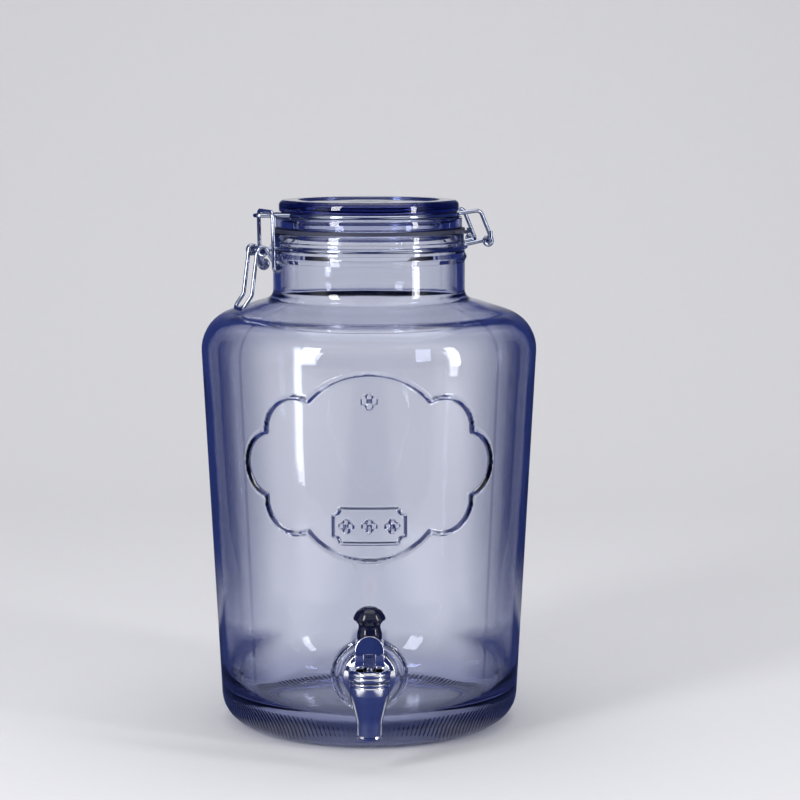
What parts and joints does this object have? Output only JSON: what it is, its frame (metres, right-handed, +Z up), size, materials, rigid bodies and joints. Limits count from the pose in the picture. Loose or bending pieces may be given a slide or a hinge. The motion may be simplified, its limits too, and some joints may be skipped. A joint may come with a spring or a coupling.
{
  "type": "glass drinks dispenser",
  "caption": "Clip-top glass drinks dispenser: tapered jar, wire-bail glass lid with a rubber seal, and a sprung lever tap near the base.",
  "frame": {"origin": "centre of the base, on the surface that the jar stands on", "axes": "+Z up along the jar's axis, the tap faces -Y, +X to the right of somebody who faces the tap"},
  "size_m": [0.2104, 0.2507, 0.33],
  "materials": {
    "jar_glass": "clear pressed glass with a cool tint, slightly wavy",
    "lid_glass": "clear pressed glass with a cool tint",
    "dark_rubber": "matt moulded rubber",
    "clip_wire": "bright plated wire",
    "tap_chrome": "polished plating",
    "inner_steel": "plain turned steel",
    "black_knob": "glossy moulded plastic"
  },
  "bodies": {
    "jar": {"jar_body": "jar_glass", "neck_wire": "clip_wire", "outer_washer": "dark_rubber", "escutcheon": "tap_chrome", "tap_body": "tap_chrome", "inner_washer": "dark_rubber", "back_nut": "tap_chrome", "bonnet_seal": "dark_rubber", "bonnet_nut": "tap_chrome", "stem_ring": "dark_rubber", "return_spring": "inner_steel"},
    "lid": {"lid": "lid_glass", "gasket": "dark_rubber", "lid_wire": "clip_wire"},
    "clasp_lever": {"clasp_lever": "clip_wire"},
    "clasp_link": {"clasp_link": "clip_wire"},
    "valve_stem": {"valve_stem": "inner_steel", "seat_cup": "dark_rubber", "spring_washer": "inner_steel"},
    "tap_handle": {"tap_lever": "tap_chrome", "lever_pin": "inner_steel", "lever_knob": "black_knob"}
  },
  "joints": [
    {"name": "lid_hinge", "type": "hinge", "parent": "jar", "child": "lid", "pos_m": [0.07044, 0.02425, 0.3035], "axis": [-0.3256, 0.9455, 0], "range_deg": [0, 105]},
    {"name": "clasp_lever_pivot", "type": "hinge", "parent": "jar", "child": "clasp_lever", "pos_m": [-0.06902, -0.02377, 0.2995], "axis": [-0.3256, 0.9455, 0], "range_deg": [0, 120]},
    {"name": "clasp_link_pivot", "type": "hinge", "parent": "clasp_lever", "child": "clasp_link", "pos_m": [-0.0607, -0.0209, 0.29], "axis": [-0.3256, 0.9455, 0], "range_deg": [-130, 0]},
    {"name": "valve_stem_slide", "type": "slide", "parent": "jar", "child": "valve_stem", "axis": [0, 0, 1], "range_m": [0, 0.005], "stiffness_N_per_m": 100, "springref_m": -0.005, "deforming": ["return_spring"]},
    {"name": "tap_lever_hinge", "type": "hinge", "parent": "valve_stem", "child": "tap_handle", "pos_m": [0, -0.13299, 0.0684], "axis": [1, 0, 0], "range_deg": [0, 75]}
  ],
  "couplings": [
    {"joint": "clasp_lever_pivot", "follows": "lid_hinge", "ratio": 1.1429},
    {"joint": "clasp_link_pivot", "follows": "lid_hinge", "ratio": -1.2381},
    {"joint": "tap_lever_hinge", "follows": "valve_stem_slide", "rad_per_m": 261.8}
  ]
}
